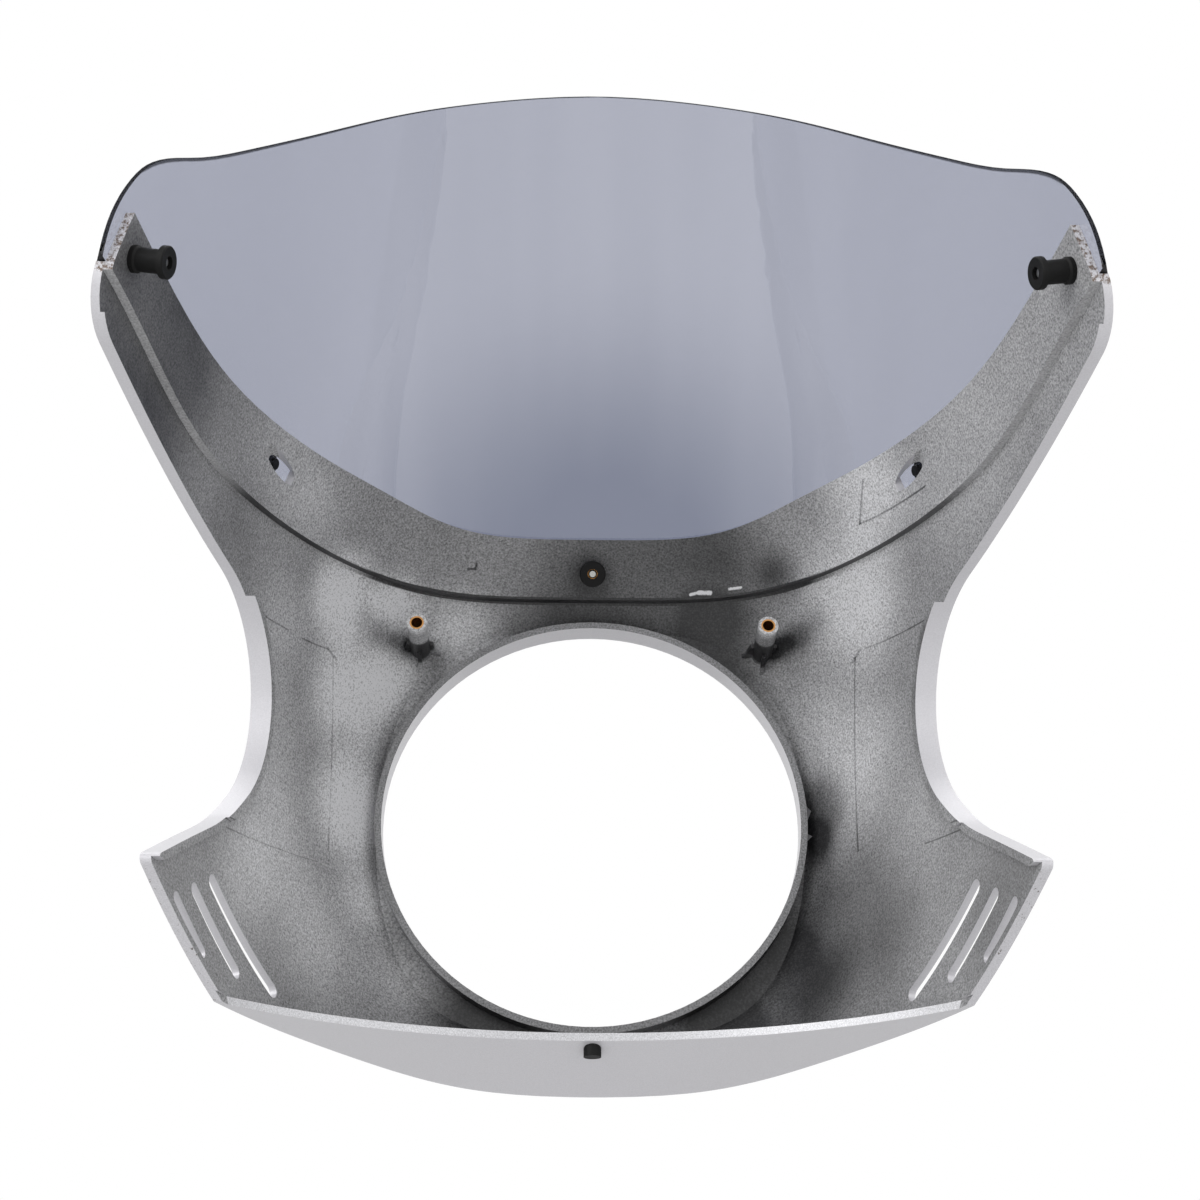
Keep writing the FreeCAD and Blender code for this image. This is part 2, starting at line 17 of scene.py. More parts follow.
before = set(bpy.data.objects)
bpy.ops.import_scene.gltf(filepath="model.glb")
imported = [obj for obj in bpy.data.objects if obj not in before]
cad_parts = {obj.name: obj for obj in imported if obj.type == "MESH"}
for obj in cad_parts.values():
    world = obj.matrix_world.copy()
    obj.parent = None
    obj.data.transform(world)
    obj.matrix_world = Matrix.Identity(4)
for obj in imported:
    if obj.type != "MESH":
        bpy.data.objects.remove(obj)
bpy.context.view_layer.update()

MM = 0.001
LOG = logging.getLogger("fairing")

Place = tuple[float, float, float]


def linear(code: str) -> tuple[float, float, float, float]:
    """Turn an sRGB hex colour into the linear colour that a shader expects.

    Args:
        code: Colour such as "#c9c8cb".

    Returns:
        Red, green, blue and an alpha of one.
    """
    channels = []
    for start in (1, 3, 5):
        value = int(code[start:start + 2], 16) / 255.0
        channels.append(value / 12.92 if value <= 0.04045 else ((value + 0.055) / 1.055) ** 2.4)
    return channels[0], channels[1], channels[2], 1.0


def metres(place_mm: Place) -> Vector:
    """Return a place given in millimetres as a vector in metres."""
    return Vector(place_mm) * MM


def add_node(
    tree: bpy.types.NodeTree,
    kind: str,
    settings: Optional[dict[str, Any]] = None,
    links: Optional[dict[Any, bpy.types.NodeSocket]] = None,
) -> bpy.types.Node:
    """Add one node with its settings and the links that feed it.

    Args:
        tree: Node tree that receives the node.
        kind: Blender's type name of the node.
        settings: Values by property name, or by input name or index.
        links: Sockets that feed the inputs, by input name or index.

    Returns:
        The new node.
    """
    node = tree.nodes.new(kind)
    for key, value in (settings or {}).items():
        if isinstance(key, str) and hasattr(node, key):
            setattr(node, key, value)
        else:
            node.inputs[key].default_value = value
    for key, socket in (links or {}).items():
        tree.links.new(socket, node.inputs[key])
    return node


def short_of(
    tree: bpy.types.NodeTree,
    along: bpy.types.NodeSocket,
    level: bpy.types.NodeSocket,
    track: np.ndarray,
) -> bpy.types.NodeSocket:
    """Give how far a level lies short of a track that is drawn over another coordinate.

    Args:
        tree: Node tree of the material.
        along: Socket with the coordinate along the track.
        level: Socket with the level to compare.
        track: Places of the track in millimetres, as rows of coordinate and level.

    Returns:
        Socket with the distance that is left, in metres.
    """
    reach = track.max(axis=0)
    share = add_node(
        tree, "ShaderNodeMath", {"operation": "MULTIPLY", 1: 1.0 / (reach[0] * MM)}, {0: along}
    )
    curve = add_node(tree, "ShaderNodeFloatCurve", {}, {"Value": share.outputs[0]})
    places = sorted((track / reach).tolist())
    points = curve.mapping.curves[0].points
    points[0].location = places[0]
    points[1].location = places[-1]
    for place in places[1:-1]:
        points.new(*place)
    for point in points:
        point.handle_type = "VECTOR"
    curve.mapping.update()
    metre_level = add_node(
        tree, "ShaderNodeMath", {"operation": "MULTIPLY", 1: reach[1] * MM}, {0: curve.outputs[0]}
    )
    rest = add_node(
        tree, "ShaderNodeMath", {"operation": "SUBTRACT"}, {0: metre_level.outputs[0], 1: level}
    )
    return rest.outputs[0]


class Side(Enum):
    """Rider's left or right."""

    LEFT = -1
    RIGHT = 1


class ShellZone(Enum):
    """Parts of the shell's surface that carry different finishes."""

    INNER = 0
    PAINT = 1
    END_FACE = 2
    RUBBED_EDGE = 3
    STEP_WALL = 4
    WORN_EAR = 5
    COLLAR_RING = 6


@dataclass(frozen=True)
class SprayPatch:
    """Place where more or less of the paint mist has settled.

    Attributes:
        centre: Middle of the patch in millimetres.
        radius: Distance at which the patch has faded out, in millimetres.
        amount: Share of the surface that the mist covers more, or less, at the middle.
        core: Distance up to which the patch is at its full amount, in millimetres.
    """

    centre: Place
    radius: float
    amount: float
    core: float = 0.0

    def fade(self, tree: bpy.types.NodeTree, coords: bpy.types.NodeSocket) -> bpy.types.NodeSocket:
        """Give the patch's amount, which fades with the distance from its centre.

        Args:
            tree: Node tree of the material.
            coords: Socket with Object coordinates.

        Returns:
            Socket with the amount at a place.
        """
        distance = add_node(
            tree, "ShaderNodeVectorMath", {"operation": "DISTANCE", 1: metres(self.centre)}, {0: coords}
        )
        fade = add_node(
            tree,
            "ShaderNodeMapRange",
            {
                "interpolation_type": "SMOOTHERSTEP",
                "From Min": self.core * MM,
                "From Max": self.radius * MM,
                "To Min": self.amount,
                "To Max": 0.0,
            },
            {"Value": distance.outputs["Value"]},
        )
        return fade.outputs[0]


@dataclass(frozen=True)
class FineLine:
    """Thin line on the inner face, left by the mould or scratched in.

    Attributes:
        start: First end, its X and Z in millimetres.
        end: Second end, its X and Z in millimetres.
        width: Half width in millimetres.
        amount: Change of the mist's cover along the line.
    """

    start: tuple[float, float]
    end: tuple[float, float]
    width: float = 0.45
    amount: float = -0.3


@dataclass(frozen=True)
class SprayedAbs:
    """Black injection moulded ABS, satin, with an uneven mist of silver paint on it.

    The mist gives fine silver dots on black, dense where the spray reached and
    almost absent near the collar and behind the bosses. Where a step track is
    given, a narrow band of painted shade along the step takes the cover away.
    """

    name: str = "abs_black_with_silver_overspray"
    plastic: str = "#1a1a1c"
    mist: str = "#d6d6d8"
    cover: float = 0.37
    grain_mm: float = 0.86
    grain_gain: float = 2.5
    grain_floor: float = 0.06
    patches: tuple[SprayPatch, ...] = ()
    lines: tuple[FineLine, ...] = ()
    # Track of the step, along which a band of painted shade is laid.
    step: Optional[np.ndarray] = None
    step_shade_mm: float = 0.75
    step_reach_mm: float = 118.0

    def build(self) -> bpy.types.Material:
        """Make the material."""
        material = bpy.data.materials.new(self.name)
        material.use_nodes = True
        tree = material.node_tree
        shader = tree.nodes["Principled BSDF"]
        coords = add_node(tree, "ShaderNodeTexCoord").outputs["Object"]
        cover = self._cover(tree, coords)
        grain = add_node(
            tree,
            "ShaderNodeTexNoise",
            {"Scale": 1.0 / (self.grain_mm * MM), "Detail": 2.0, "Roughness": 0.6},
            {"Vector": coords},
        )
        spread = add_node(
            tree,
            "ShaderNodeMath",
            {"operation": "MULTIPLY_ADD", 1: self.grain_gain, 2: 1.0 - 0.5 * self.grain_gain},
            {0: grain.outputs["Fac"]},
        )
        dots = add_node(
            tree,
            "ShaderNodeMath",
            {"operation": "MULTIPLY_ADD", "use_clamp": True, 2: -self.grain_floor},
            {0: spread.outputs[0], 1: cover},
        )
        colour = add_node(
            tree,
            "ShaderNodeMix",
            {"data_type": "RGBA", 6: linear(self.plastic), 7: linear(self.mist)},
            {0: dots.outputs[0]},
        )
        rough = add_node(
            tree,
            "ShaderNodeMapRange",
            {"To Min": 0.42, "To Max": 0.62},
            {"Value": dots.outputs[0]},
        )
        bump = add_node(
            tree,
            "ShaderNodeBump",
            {"Strength": 0.25, "Distance": 0.00005},
            {"Height": dots.outputs[0]},
        )
        tree.links.new(colour.outputs[2], shader.inputs["Base Color"])
        tree.links.new(rough.outputs[0], shader.inputs["Roughness"])
        tree.links.new(bump.outputs[0], shader.inputs["Normal"])
        shader.inputs["Metallic"].default_value = 0.0
        shader.inputs["IOR"].default_value = 1.5
        return material

    def _cover(self, tree: bpy.types.NodeTree, coords: bpy.types.NodeSocket) -> bpy.types.NodeSocket:
        """Sum the patches and lines into the mist's cover at a place, less the painted shade along the step.

        Args:
            tree: Node tree of the material.
            coords: Socket with Object coordinates.

        Returns:
            Socket with the cover, about 0 to 1, raised by the grain's floor.
        """
        drift = add_node(
            tree,
            "ShaderNodeTexNoise",
            {"Scale": 1.0 / (38.0 * MM), "Detail": 3.0},
            {"Vector": coords},
        )
        total = add_node(
            tree,
            "ShaderNodeMath",
            {"operation": "MULTIPLY_ADD", 1: 0.2, 2: self.cover - 0.1},
            {0: drift.outputs["Fac"]},
        ).outputs[0]
        for patch in self.patches:
            total = add_node(
                tree, "ShaderNodeMath", {"operation": "ADD"}, {0: total, 1: patch.fade(tree, coords)}
            ).outputs[0]
        flat = add_node(
            tree, "ShaderNodeVectorMath", {"operation": "MULTIPLY", 1: (1.0, 0.0, 1.0)}, {0: coords}
        ).outputs[0]
        for line in self.lines:
            total = add_node(
                tree,
                "ShaderNodeMath",
                {"operation": "ADD"},
                {0: total, 1: self._line(tree, flat, line)},
            ).outputs[0]
        # Painted shade: the cover is lowered in a narrow band along the step.
        if self.step is not None:
            total = add_node(
                tree, "ShaderNodeMath", {"operation": "SUBTRACT"}, {0: total, 1: self._step(tree, coords)}
            ).outputs[0]
        floor = add_node(tree, "ShaderNodeMath", {"operation": "MAXIMUM", 1: 0.012}, {0: total})
        raised = add_node(
            tree, "ShaderNodeMath", {"operation": "ADD", 1: self.grain_floor}, {0: floor.outputs[0]}
        )
        return raised.outputs[0]

    def _step(self, tree: bpy.types.NodeTree, coords: bpy.types.NodeSocket) -> bpy.types.NodeSocket:
        """Paint shade in a narrow band along the middle of the step, by taking mist cover away there.

        Args:
            tree: Node tree of the material.
            coords: Socket with Object coordinates.

        Returns:
            Socket with the cover that is missing at a place.
        """
        place = add_node(tree, "ShaderNodeSeparateXYZ", {}, {0: coords})
        across = add_node(tree, "ShaderNodeMath", {"operation": "ABSOLUTE"}, {0: place.outputs["X"]}).outputs[0]
        rest = short_of(tree, across, place.outputs["Z"], self.step)
        gap = add_node(tree, "ShaderNodeMath", {"operation": "ABSOLUTE"}, {0: rest})
        band = add_node(
            tree,
            "ShaderNodeMapRange",
            {
                "From Min": 0.6 * self.step_shade_mm * MM,
                "From Max": 1.3 * self.step_shade_mm * MM,
                "To Min": 1.0,
                "To Max": 0.0,
            },
            {"Value": gap.outputs[0]},
        )
        middle = add_node(
            tree,
            "ShaderNodeMapRange",
            {
                "From Min": 0.7 * self.step_reach_mm * MM,
                "From Max": self.step_reach_mm * MM,
                "To Min": 1.0,
                "To Max": 0.0,
            },
            {"Value": across},
        )
        both = add_node(
            tree, "ShaderNodeMath", {"operation": "MULTIPLY"}, {0: band.outputs[0], 1: middle.outputs[0]}
        )
        return both.outputs[0]

    def _line(
        self, tree: bpy.types.NodeTree, coords: bpy.types.NodeSocket, line: FineLine
    ) -> bpy.types.NodeSocket:
        """Give a line's share of the cover from the distance to its axis.

        Args:
            tree: Node tree of the material.
            coords: Socket with Object coordinates whose Y is zero.
            line: Line to draw.

        Returns:
            Socket with the line's amount near its axis and zero elsewhere.
        """
        start = metres((line.start[0], 0.0, line.start[1]))
        run = metres((line.end[0], 0.0, line.end[1])) - start
        away = add_node(
            tree, "ShaderNodeVectorMath", {"operation": "SUBTRACT", 1: start}, {0: coords}
        )
        along = add_node(
            tree,
            "ShaderNodeVectorMath",
            {"operation": "DOT_PRODUCT", 1: run / run.length_squared},
            {0: away.outputs[0]},
        )
        held = add_node(
            tree, "ShaderNodeClamp", {"Min": 0.0, "Max": 1.0}, {"Value": along.outputs["Value"]}
        )
        foot = add_node(
            tree,
            "ShaderNodeVectorMath",
            {"operation": "SCALE", 0: run},
            {"Scale": held.outputs[0]},
        )
        gap = add_node(
            tree,
            "ShaderNodeVectorMath",
            {"operation": "DISTANCE"},
            {0: away.outputs[0], 1: foot.outputs[0]},
        )
        near = add_node(
            tree,
            "ShaderNodeMapRange",
            {
                "From Min": 0.35 * line.width * MM,
                "From Max": line.width * MM,
                "To Min": line.amount,
                "To Max": 0.0,
            },
            {"Value": gap.outputs["Value"]},
        )
        return near.outputs[0]


@dataclass(frozen=True)
class SilverPaint:
    """Two-coat silver metallic paint on ABS: aluminium flake under a clear coat.

    The flakes give a faint sparkle, and the clear coat a soft sharp highlight.
    Where chip_cover is above zero the edge is rubbed through to the black plastic.
    """

    name: str = "silver_metallic_paint"
    silver: str = "#c6c5c9"
    chip: str = "#3b2c22"
    flake_mm: float = 0.5
    flake_depth: float = 0.05
    chip_cover: float = 0.0
    chip_mm: float = 2.4
    chip_fade: float = 0.06
    coat: float = 0.35
    roughness: float = 0.42

    def build(self) -> bpy.types.Material:
        """Make the material."""
        material = bpy.data.materials.new(self.name)
        material.use_nodes = True
        tree = material.node_tree
        shader = tree.nodes["Principled BSDF"]
        coords = add_node(tree, "ShaderNodeTexCoord").outputs["Object"]
        flake = add_node(
            tree,
            "ShaderNodeTexNoise",
            {"Scale": 1.0 / (self.flake_mm * MM), "Detail": 1.0},
            {"Vector": coords},
        )
        tone = add_node(
            tree,
            "ShaderNodeMapRange",
            {
                "From Min": 0.3,
                "From Max": 0.7,
                "To Min": 1.0 - self.flake_depth,
                "To Max": 1.0 + self.flake_depth,
            },
            {"Value": flake.outputs["Fac"]},
        )
        silver = add_node(
            tree,
            "ShaderNodeVectorMath",
            {"operation": "SCALE", 0: linear(self.silver)[:3]},
            {"Scale": tone.outputs[0]},
        )
        colour = silver.outputs[0]
        if self.chip_cover > 0.0:
            wear = add_node(
                tree,
                "ShaderNodeTexNoise",
                {"Scale": 1.0 / (self.chip_mm * MM), "Detail": 4.0, "Roughness": 0.7},
                {"Vector": coords},
            )
            mask = add_node(
                tree,
                "ShaderNodeMapRange",
                {
                    "From Min": 0.64 - 0.3 * self.chip_cover,
                    "From Max": 0.64 - 0.3 * self.chip_cover + self.chip_fade,
                },
                {"Value": wear.outputs["Fac"]},
            )
            colour = add_node(
                tree,
                "ShaderNodeMix",
                {"data_type": "RGBA", 7: linear(self.chip)},
                {0: mask.outputs[0], 6: colour},
            ).outputs[2]
        bump = add_node(
            tree,
            "ShaderNodeBump",
            {"Strength": 0.08, "Distance": 0.00004},
            {"Height": flake.outputs["Fac"]},
        )
        tree.links.new(colour, shader.inputs["Base Color"])
        tree.links.new(bump.outputs[0], shader.inputs["Normal"])
        shader.inputs["Metallic"].default_value = 0.25
        shader.inputs["Roughness"].default_value = self.roughness
        shader.inputs["Coat Weight"].default_value = self.coat
        shader.inputs["Coat Roughness"].default_value = 0.12
        return material


@dataclass(frozen=True)
class SmokedAcrylic:
    """Thermoformed smoked acrylic, polished: clear, cool grey, IOR 1.49.

    The tint is a little deeper towards the foot of the screen's middle.
    """

    name: str = "smoked_acrylic"
    tint: str = "#aeb1be"
    deep_tint: str = "#7b8092"
    deep: SprayPatch = SprayPatch((4.0, -20.0, 108.0), 168.0, 1.0, 10.0)
    painted_reflection_streak_mm: float = 26.0
    painted_reflection_streak_share: float = 0.22
    painted_edge_shade_tint: str = "#17181c"
    painted_edge_shade_mm: float = 0.46
    outline: Optional[np.ndarray] = None

    def build(self) -> bpy.types.Material:
        """Make the material."""
        material = bpy.data.materials.new(self.name)
        material.use_nodes = True
        tree = material.node_tree
        shader = tree.nodes["Principled BSDF"]
        coords = add_node(tree, "ShaderNodeTexCoord").outputs["Object"]
        colour = add_node(
            tree,
            "ShaderNodeMix",
            {"data_type": "RGBA", 6: linear(self.tint), 7: linear(self.deep_tint)},
            {0: self._depth(tree, coords)},
        ).outputs[2]
        # Painted shade: a dark band along the outline stands in for the dark look of the rounded polished edge.
        if self.outline is not None:
            colour = add_node(
                tree,
                "ShaderNodeMix",
                {"data_type": "RGBA", 7: linear(self.painted_edge_shade_tint)},
                {0: self._painted_edge_shade(tree, coords), 6: colour},
            ).outputs[2]
        tree.links.new(colour, shader.inputs["Base Color"])
        shader.inputs["Transmission Weight"].default_value = 1.0
        shader.inputs["Roughness"].default_value = 0.0
        shader.inputs["IOR"].default_value = 1.49
        return material

    def _depth(self, tree: bpy.types.NodeTree, coords: bpy.types.NodeSocket) -> bpy.types.NodeSocket:
        """Give how deep the tint is, with faint upright streaks of painted reflection.

        Args:
            tree: Node tree of the material.
            coords: Socket with Object coordinates.

        Returns:
            Socket with the depth, 0 to 1.
        """
        # Painted reflection: faint upright streaks in the tint stand in for reflections on the screen.
        drawn = add_node(
            tree, "ShaderNodeVectorMath", {"operation": "MULTIPLY", 1: (1.0, 0.1, 0.12)}, {0: coords}
        )
        streaks = add_node(
            tree,
            "ShaderNodeTexNoise",
            {"Scale": 1.0 / (self.painted_reflection_streak_mm * MM), "Detail": 1.0},
            {"Vector": drawn.outputs[0]},
        )
        total = add_node(
            tree,
            "ShaderNodeMath",
            {"operation": "MULTIPLY_ADD", "use_clamp": True, 1: self.painted_reflection_streak_share},
            {0: streaks.outputs["Fac"], 2: self.deep.fade(tree, coords)},
        )
        return total.outputs[0]

    def _painted_edge_shade(self, tree: bpy.types.NodeTree, coords: bpy.types.NodeSocket) -> bpy.types.NodeSocket:
        """Paint shade in a narrow band along the outline, where the polished edge is rounded and looks dark.

        Args:
            tree: Node tree of the material.
            coords: Socket with Object coordinates.

        Returns:
            Socket that is 1 at the outline and 0 away from it.
        """
        place = add_node(tree, "ShaderNodeSeparateXYZ", {}, {0: coords})
        height = place.outputs["Z"]
        across = add_node(tree, "ShaderNodeMath", {"operation": "ABSOLUTE"}, {0: place.outputs["X"]}).outputs[0]
        below = short_of(tree, across, height, self.outline)
        beside = short_of(tree, height, across, self.outline[:, ::-1])
        product = add_node(tree, "ShaderNodeMath", {"operation": "MULTIPLY"}, {0: below, 1: beside})
        both = add_node(tree, "ShaderNodeCombineXYZ", {}, {0: below, 1: beside})
        span = add_node(tree, "ShaderNodeVectorMath", {"operation": "LENGTH"}, {0: both.outputs[0]})
        gap = add_node(
            tree, "ShaderNodeMath", {"operation": "DIVIDE"}, {0: product.outputs[0], 1: span.outputs["Value"]}
        )
        band = add_node(
            tree,
            "ShaderNodeMapRange",
            {
                "From Min": 0.7 * self.painted_edge_shade_mm * MM,
                "From Max": self.painted_edge_shade_mm * MM,
                "To Min": 1.0,
                "To Max": 0.0,
            },
            {"Value": gap.outputs[0]},
        )
        return band.outputs[0]


@dataclass(frozen=True)
class PlainFinish:
    """Finish of a small moulded or turned piece, with a fine surface texture.

    Attributes:
        name: Name of the real material and how its surface was made.
        colour: Main colour.
        second: Colour of the texture's low places.
        metallic: Share of metal.
        roughness: Roughness of the surface.
        grain_mm: Size of the texture in millimetres.
        relief: Strength of its bump.
        thread_pitch_mm: Pitch of a thread that is drawn as relief, or zero.
        specular: Strength of the surface's reflection.
    """

    name: str
    colour: str
    second: str
    metallic: float = 0.0
    roughness: float = 0.5
    grain_mm: float = 0.4
    relief: float = 0.1
    thread_pitch_mm: float = 0.0
    specular: float = 0.5

    def build(self) -> bpy.types.Material:
        """Make the material."""
        material = bpy.data.materials.new(self.name)
        material.use_nodes = True
        tree = material.node_tree
        shader = tree.nodes["Principled BSDF"]
        coords = add_node(tree, "ShaderNodeTexCoord").outputs["Object"]
        grain = add_node(
            tree,
            "ShaderNodeTexNoise",
            {"Scale": 1.0 / (self.grain_mm * MM), "Detail": 3.0},
            {"Vector": coords},
        )
        colour = add_node(
            tree,
            "ShaderNodeMix",
            {"data_type": "RGBA", 6: linear(self.second), 7: linear(self.colour)},
            {0: grain.outputs["Fac"]},
        )
        height = grain.outputs["Fac"]
        if self.thread_pitch_mm > 0.0:
            thread = add_node(
                tree,
                "ShaderNodeTexWave",
                {"bands_direction": "Y", "Scale": 0.314 / (self.thread_pitch_mm * MM)},
                {"Vector": coords},
            )
            height = thread.outputs["Fac"]
        bump = add_node(
            tree,
            "ShaderNodeBump",
            {"Strength": self.relief, "Distance": 0.0001},
            {"Height": height},
        )
        rough = add_node(
            tree,
            "ShaderNodeMapRange",
            {"To Min": self.roughness + 0.06, "To Max": self.roughness - 0.06},
            {"Value": grain.outputs["Fac"]},
        )
        tree.links.new(colour.outputs[2], shader.inputs["Base Color"])
        tree.links.new(rough.outputs[0], shader.inputs["Roughness"])
        tree.links.new(bump.outputs[0], shader.inputs["Normal"])
        shader.inputs["Metallic"].default_value = self.metallic
        shader.inputs["Specular IOR Level"].default_value = self.specular
        return material


@dataclass(frozen=True)
class Skin:
    """Outer skin of the fairing, in millimetres, as the solids are drawn."""

    nose_y: float = 36.0
    upper_fall_length: float = 385.0
    rake_start_z: float = 160.0
    rake_fall_length: float = 2500.0
    lower_fall: float = 24.0
    lower_fall_at: float = 97.0
    side_fall: float = 24.2
    side_fall_at: float = 98.0
    side_fall_power: float = 3.9
    wrap_start_z: float = 50.0
    wrap_length: float = 210.8

    def height(self, x: np.ndarray, z: np.ndarray) -> np.ndarray:
        """Give the skin's Y at places of the front view.

        Args:
            x: Places to the side.
            z: Heights.

        Returns:
            The skin's Y at each place.
        """
        start = self.rake_start_z**2 / self.upper_fall_length
        slope = 2.0 * self.rake_start_z / self.upper_fall_length
        beyond = z - self.rake_start_z
        upper = z * z / self.upper_fall_length
        raked = start + slope * beyond + beyond * beyond / self.rake_fall_length
        lower = self.lower_fall * (z / self.lower_fall_at) ** 2
        centre = np.where(z < 0.0, lower, np.where(z < self.rake_start_z, upper, raked))
        wrap = 1.0 + (np.maximum(0.0, z - self.wrap_start_z) / self.wrap_length) ** 2
        side = self.side_fall * (np.abs(x) / self.side_fall_at) ** self.side_fall_power
        return self.nose_y - centre - side * wrap

    def outward(self, x: np.ndarray, z: np.ndarray) -> np.ndarray:
        """Give the skin's unit normals, pointing away from the fairing.

        Args:
            x: Places to the side.
            z: Heights.

        Returns:
            One normal for each place.
        """
        step = 0.05
        along_x = (self.height(x + step, z) - self.height(x - step, z)) / (2.0 * step)
        along_z = (self.height(x, z + step) - self.height(x, z - step)) / (2.0 * step)
        normals = np.stack([-along_x, np.ones_like(along_x), -along_z], axis=1)
        return normals / np.linalg.norm(normals, axis=1, keepdims=True)

    def depth(self, places: np.ndarray) -> np.ndarray:
        """Give how deep places lie below the skin, to first order.

        Args:
            places: Places as rows of x, y, z.

        Returns:
            The depth of each place.
        """
        fall = self.height(places[:, 0], places[:, 2]) - places[:, 1]
        return fall * self.outward(places[:, 0], places[:, 2])[:, 1]


def faces_of(node: bpy.types.Object) -> tuple[np.ndarray, np.ndarray]:
    """Read a node's face centres, in millimetres, and face normals.

    Args:
        node: Mesh object.

    Returns:
        Centres and normals, one row for each face.
    """
    count = len(node.data.polygons)
    centres = np.empty(count * 3)
    normals = np.empty(count * 3)
    node.data.polygons.foreach_get("center", centres)
    node.data.polygons.foreach_get("normal", normals)
    return centres.reshape(-1, 3) / MM, normals.reshape(-1, 3)


def dress(node: bpy.types.Object, materials: list[bpy.types.Material], zones: Optional[np.ndarray] = None) -> None:
    """Put materials on a node, one for all its faces or one for each zone.

    Args:
        node: Mesh object.
        materials: Materials in the order of the zones' numbers.
        zones: Zone number of each face, or nothing for the first material.
    """
    node.data.materials.clear()
    for material in materials:
        node.data.materials.append(material)
    if zones is not None:
        node.data.polygons.foreach_set("material_index", zones.astype(np.int32))
    LOG.info("%s: %d faces, %d finishes", node.name, len(node.data.polygons), len(materials))


